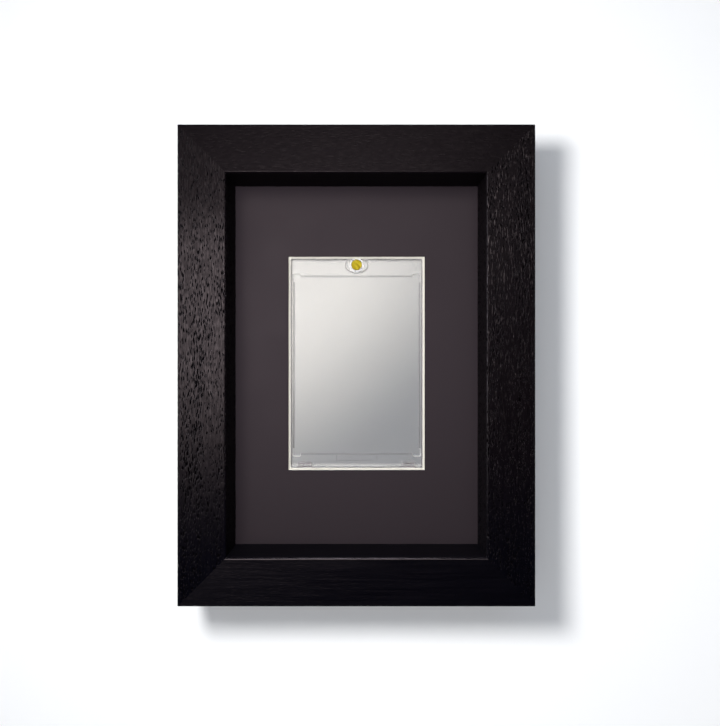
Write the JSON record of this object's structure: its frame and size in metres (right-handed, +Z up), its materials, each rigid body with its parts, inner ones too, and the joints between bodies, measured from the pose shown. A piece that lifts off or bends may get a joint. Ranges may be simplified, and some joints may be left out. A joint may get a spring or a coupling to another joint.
{
  "type": "trading card display case",
  "caption": "Deep dark wooden frame with a bevel-cut mat around a clear hinged magnetic card holder that pushes in from the front; sawtooth hanger and turn buttons behind.",
  "frame": {"origin": "centre of the underside of the bottom rail, halfway between the front and the back of the moulding", "axes": "+Z up, +X to the right seen from the front, the front of the frame faces -Y and its wall side faces +Y"},
  "size_m": [0.173, 0.0372, 0.233],
  "materials": {
    "stained_wood": "black-stained open-grained hardwood, satin",
    "pin_steel": "sheared steel strip",
    "facing_paper": "matt charcoal paper",
    "core_board": "white cotton board, knife cut",
    "foam_board": "white faced foam board",
    "liner_paper": "smooth pale grey card",
    "fibreboard": "bare brown fibreboard",
    "zinc_steel": "bright zinc plate",
    "blued_steel": "black oxide",
    "bumper_rubber": "matt black",
    "clear_acrylic": "clear moulded, polished",
    "nickel_magnet": "nickel plate",
    "gilt_magnet": "gold-coloured plate"
  },
  "bodies": {
    "frame": {"top_rail": "stained_wood", "bottom_rail": "stained_wood", "left_rail": "stained_wood", "right_rail": "stained_wood", "v_nails": "pin_steel", "mat_facing": "facing_paper", "mat_core": "core_board", "holder_carrier": "foam_board", "liner_card": "liner_paper", "back_board": "fibreboard", "turn_button_screws": "blued_steel", "sawtooth_hanger": "zinc_steel", "hanger_screws": "blued_steel", "wall_bumper_left": "bumper_rubber", "wall_bumper_right": "bumper_rubber"},
    "card_holder": {"holder_base": "clear_acrylic", "base_magnet": "nickel_magnet"},
    "cover": {"holder_cover": "clear_acrylic", "cover_magnet": "gilt_magnet"},
    "button_upper_left": {"turn_button_upper_left": "zinc_steel"},
    "button_upper_right": {"turn_button_upper_right": "zinc_steel"},
    "button_lower_left": {"turn_button_lower_left": "zinc_steel"},
    "button_lower_right": {"turn_button_lower_right": "zinc_steel"}
  },
  "joints": [
    {"name": "holder_slide", "type": "slide", "parent": "frame", "child": "card_holder", "axis": [0, -1, 0], "range_m": [0, 0.045]},
    {"name": "cover_hinge", "type": "hinge", "parent": "card_holder", "child": "cover", "pos_m": [0, 0.00838, 0.06448], "axis": [1, 0, 0], "range_deg": [0, 115]},
    {"name": "button_pivot_upper_left", "type": "hinge", "parent": "frame", "child": "button_upper_left", "pos_m": [-0.0745, 0.0175, 0.1765], "axis": [0, 1, 0], "continuous": true},
    {"name": "button_pivot_upper_right", "type": "hinge", "parent": "frame", "child": "button_upper_right", "pos_m": [0.0745, 0.0175, 0.1765], "axis": [0, 1, 0], "continuous": true},
    {"name": "button_pivot_lower_left", "type": "hinge", "parent": "frame", "child": "button_lower_left", "pos_m": [-0.0745, 0.0175, 0.0565], "axis": [0, 1, 0], "continuous": true},
    {"name": "button_pivot_lower_right", "type": "hinge", "parent": "frame", "child": "button_lower_right", "pos_m": [0.0745, 0.0175, 0.0565], "axis": [0, 1, 0], "continuous": true}
  ]
}
